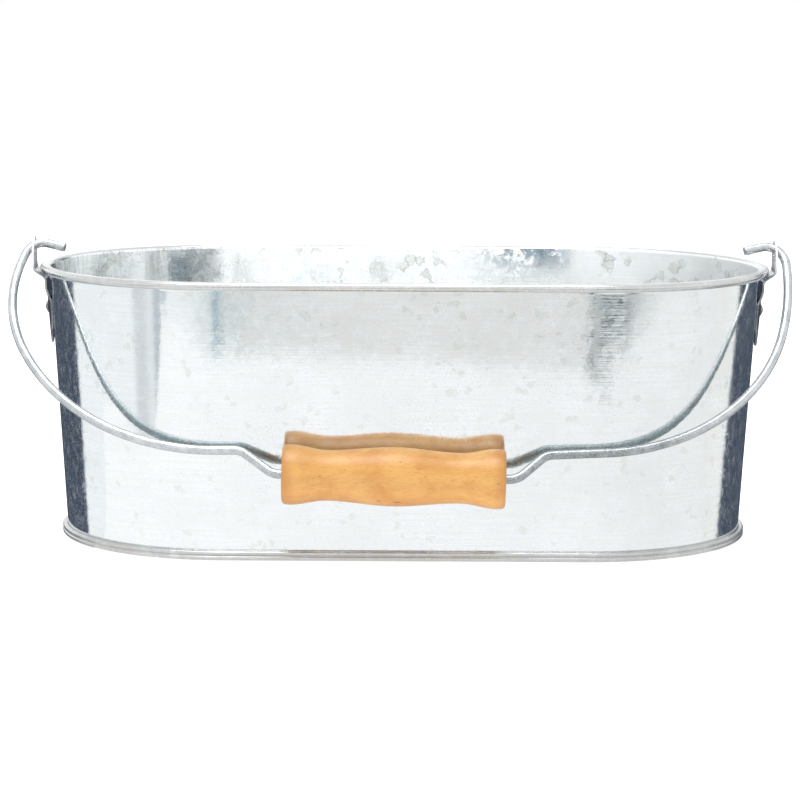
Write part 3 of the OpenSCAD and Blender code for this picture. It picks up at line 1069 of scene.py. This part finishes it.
# What reflections see round the horizon: azimuth in degrees from the camera's side, to the right, and
# the light from there
SURROUND = [
    (-180, DARK), (-118, DARK), (-116, SIDE), (-63, SIDE), (-60, PALE_STRIP), (-54, PALE_STRIP),
    (-51, PALER_STRIP), (-48, PALER_STRIP), (-46, STRIP), (-39, STRIP), (-36.5, SIDE), (-26, SIDE),
    (-14, (0.86, 0.89, 0.89)), (-9, (0.80, 0.85, 0.86)), (-7.5, BLUE_STRIP), (-4.5, BLUE_STRIP),
    (-3.2, HAZE), (7.8, HAZE), (8.8, SLATE), (18.5, SLATE), (22.5, (0.42, 0.47, 0.48)),
    (29, (0.72, 0.75, 0.75)), (44, (0.90, 0.91, 0.90)), (55, WARM_SIDE), (116.4, WARM_SIDE),
    (118.4, DARK), (180, DARK)]
# The same above the horizon, where the inside of the tub looks
OVER = [
    (-180, GLOW), (-130, GLOW), (-100, SIDE), (-60, GLOW), (60, GLOW), (110, SIDE), (134.5, SIDE),
    (136.5, OVER_SLATE), (148, OVER_SLATE), (153, (0.47, 0.50, 0.50)), (163, (0.62, 0.63, 0.63)),
    (171, SIDE), (175, GLOW), (180, GLOW)]


def rise(g, angle, start, end, to_low=0.0, to_high=1.0, smooth=True):
    """A ramp of an angle in radians between two angles in degrees."""
    return g.ramp(angle, math.radians(start), math.radians(end), to_low, to_high, smooth)


def round_stops(g, azimuth, stops):
    """The colour that the stops have at an azimuth in radians."""
    turn = g.math("ADD", g.math("DIVIDE", azimuth, 2 * math.pi), 0.5)
    return g.stops(turn, [(0.5 + degrees / 360, colour) for degrees, colour in stops])


def leant_azimuth(g, azimuth, elevation):
    """Azimuth for SURROUND: the slate just right of the middle narrows downwards, the right side leans."""
    width = rise(g, elevation, -14.4, -12.9, 0.22, 1.28, smooth=False)
    spread = g.math("SUBTRACT", g.math("DIVIDE", azimuth, width), azimuth)
    spread = g.product(spread, rise(g, azimuth, 3.5, 7), rise(g, azimuth, 60, 80, 1.0, 0.0))
    lean = g.product(g.math("ADD", elevation, math.radians(12.5)), rise(g, azimuth, 85, 100, 0.0, 1.2))
    return g.math("SUBTRACT", g.math("ADD", azimuth, spread), lean)


def studio_colour(g):
    """What reflections see in every direction, from the ground up to the ceiling."""
    x, y, z = g.axes(g.coordinates("Generated"))
    azimuth = g.math("ARCTAN2", x, g.product(y, -1.0))
    elevation = g.math("ARCSINE", z)
    around = round_stops(g, leant_azimuth(g, azimuth, elevation), SURROUND)
    seen = g.mix(rise(g, elevation, -52, -34), GROUND, around)
    behind = rise(g, g.math("ABSOLUTE", azimuth), 112, 114)
    seen = g.mix(g.product(behind, rise(g, elevation, -18.5, -15.5, 1.0, 0.0)), seen, LOW_BEHIND)
    seen = g.mix(rise(g, elevation, 0, 4), seen, round_stops(g, azimuth, OVER))
    return g.mix(rise(g, elevation, 16, 24), seen, CEILING)


def add_world():
    """White studio; reflections also see its dark sides and what stands beyond the front card."""
    world = bpy.data.worlds.new("studio")
    bpy.context.scene.world = world
    world.use_nodes = True
    g = Graph(world.node_tree)
    plain = g.node("ShaderNodeBackground", {"Color": grey(1), "Strength": 1.0})
    studio = g.node("ShaderNodeBackground", {"Color": studio_colour(g), "Strength": 1.0})
    reflected = g.node("ShaderNodeLightPath").outputs["Is Glossy Ray"]
    both = g.node("ShaderNodeMixShader", {0: reflected, 1: plain.outputs[0], 2: studio.outputs[0]})
    g.node("ShaderNodeOutputWorld", {"Surface": both.outputs[0]})


# ---- everything in place ----

add_camera()
add_world()
add_floor()
add_card()
add_light("overhead", place=(-0.15, -0.25, 1.3), size=0.8, power=10.0)
bpy.context.scene.view_settings.view_transform = "Standard"

ZINC = (0.85, 0.87, 0.875)
FLAKE = (0.70, 0.73, 0.67)
sheet = galvanised(
    "galvanised_sheet_outside", ZINC, FLAKE, rough=0.055, crystals=380.0, tinted=0.09,
    flake_share=0.6, dark_share=0.16, grain_depth=0.011 * MM)
inner = galvanised(
    "galvanised_sheet_inside", (0.92, 0.93, 0.92), (0.72, 0.73, 0.68), rough=0.06, crystals=250.0,
    tinted=0.28, flake_share=0.9, dark_share=0.7, grain_depth=0.007 * MM, film_share=0.14, stain=True,
    crystal_edges=0.9)
# The roll is the same sheet as the wall; its darker colour is painted shade under the bead and along the
# rear rim.
roll = galvanised(
    "galvanised_sheet_roll", (0.615, 0.61, 0.585), FLAKE, rough=0.20, crystals=200.0, tinted=0.2,
    flake_share=0.4, dark_share=0.3, grain_depth=0.006 * MM)
seam = galvanised(
    "galvanised_sheet_seam", (0.525, 0.515, 0.49), FLAKE, rough=0.28, crystals=200.0, tinted=0.2,
    flake_share=0.3, dark_share=0.4, grain_depth=0.006 * MM)
# The ear plates' dark colour is painted shade on the shield below the rim; the tab above the rim is painted
# pale as light.
stamped = galvanised(
    "galvanised_sheet_stamped", (0.25, 0.25, 0.26), FLAKE, rough=0.20, crystals=200.0, tinted=0.2,
    flake_share=0.2, dark_share=0.4, grain_depth=0.006 * MM, film_share=0.04, painted_light_above=RIM_Z)
rivet = galvanised(
    "galvanised_rivet", (0.36, 0.335, 0.30), FLAKE, rough=0.26, crystals=500.0, tinted=0.2,
    flake_share=0.2, dark_share=0.5, grain_depth=0.006 * MM, film_share=0.08)
wire = steel_wire("galvanised_wire")
wood = turned_wood("honey_wood")

dress(build_wall(), [sheet, inner, roll], "tub", "galvanised_sheet", "wall")
dress(build_pan(), [seam], "tub", "galvanised_sheet", "base_pan")
dress(build_ear("ear_plate_right", 1), [stamped], "tub", "galvanised_sheet", "ear_right")
dress(build_ear("ear_plate_left", -1), [stamped], "tub", "galvanised_sheet", "ear_left")
dress(build_rivet("rivet_head_right", 1), [rivet], "tub", "steel_wire", "rivet_right")
dress(build_rivet("rivet_head_left", -1), [rivet], "tub", "steel_wire", "rivet_left")
dress(frame["nodes"]["rim_wire"], [wire], "tub", "steel_wire")
dress(build_bail(), [wire], "bail", "steel_wire", "bail")
dress(build_grip(), [wood], "grip", "turned_wood", "grip")
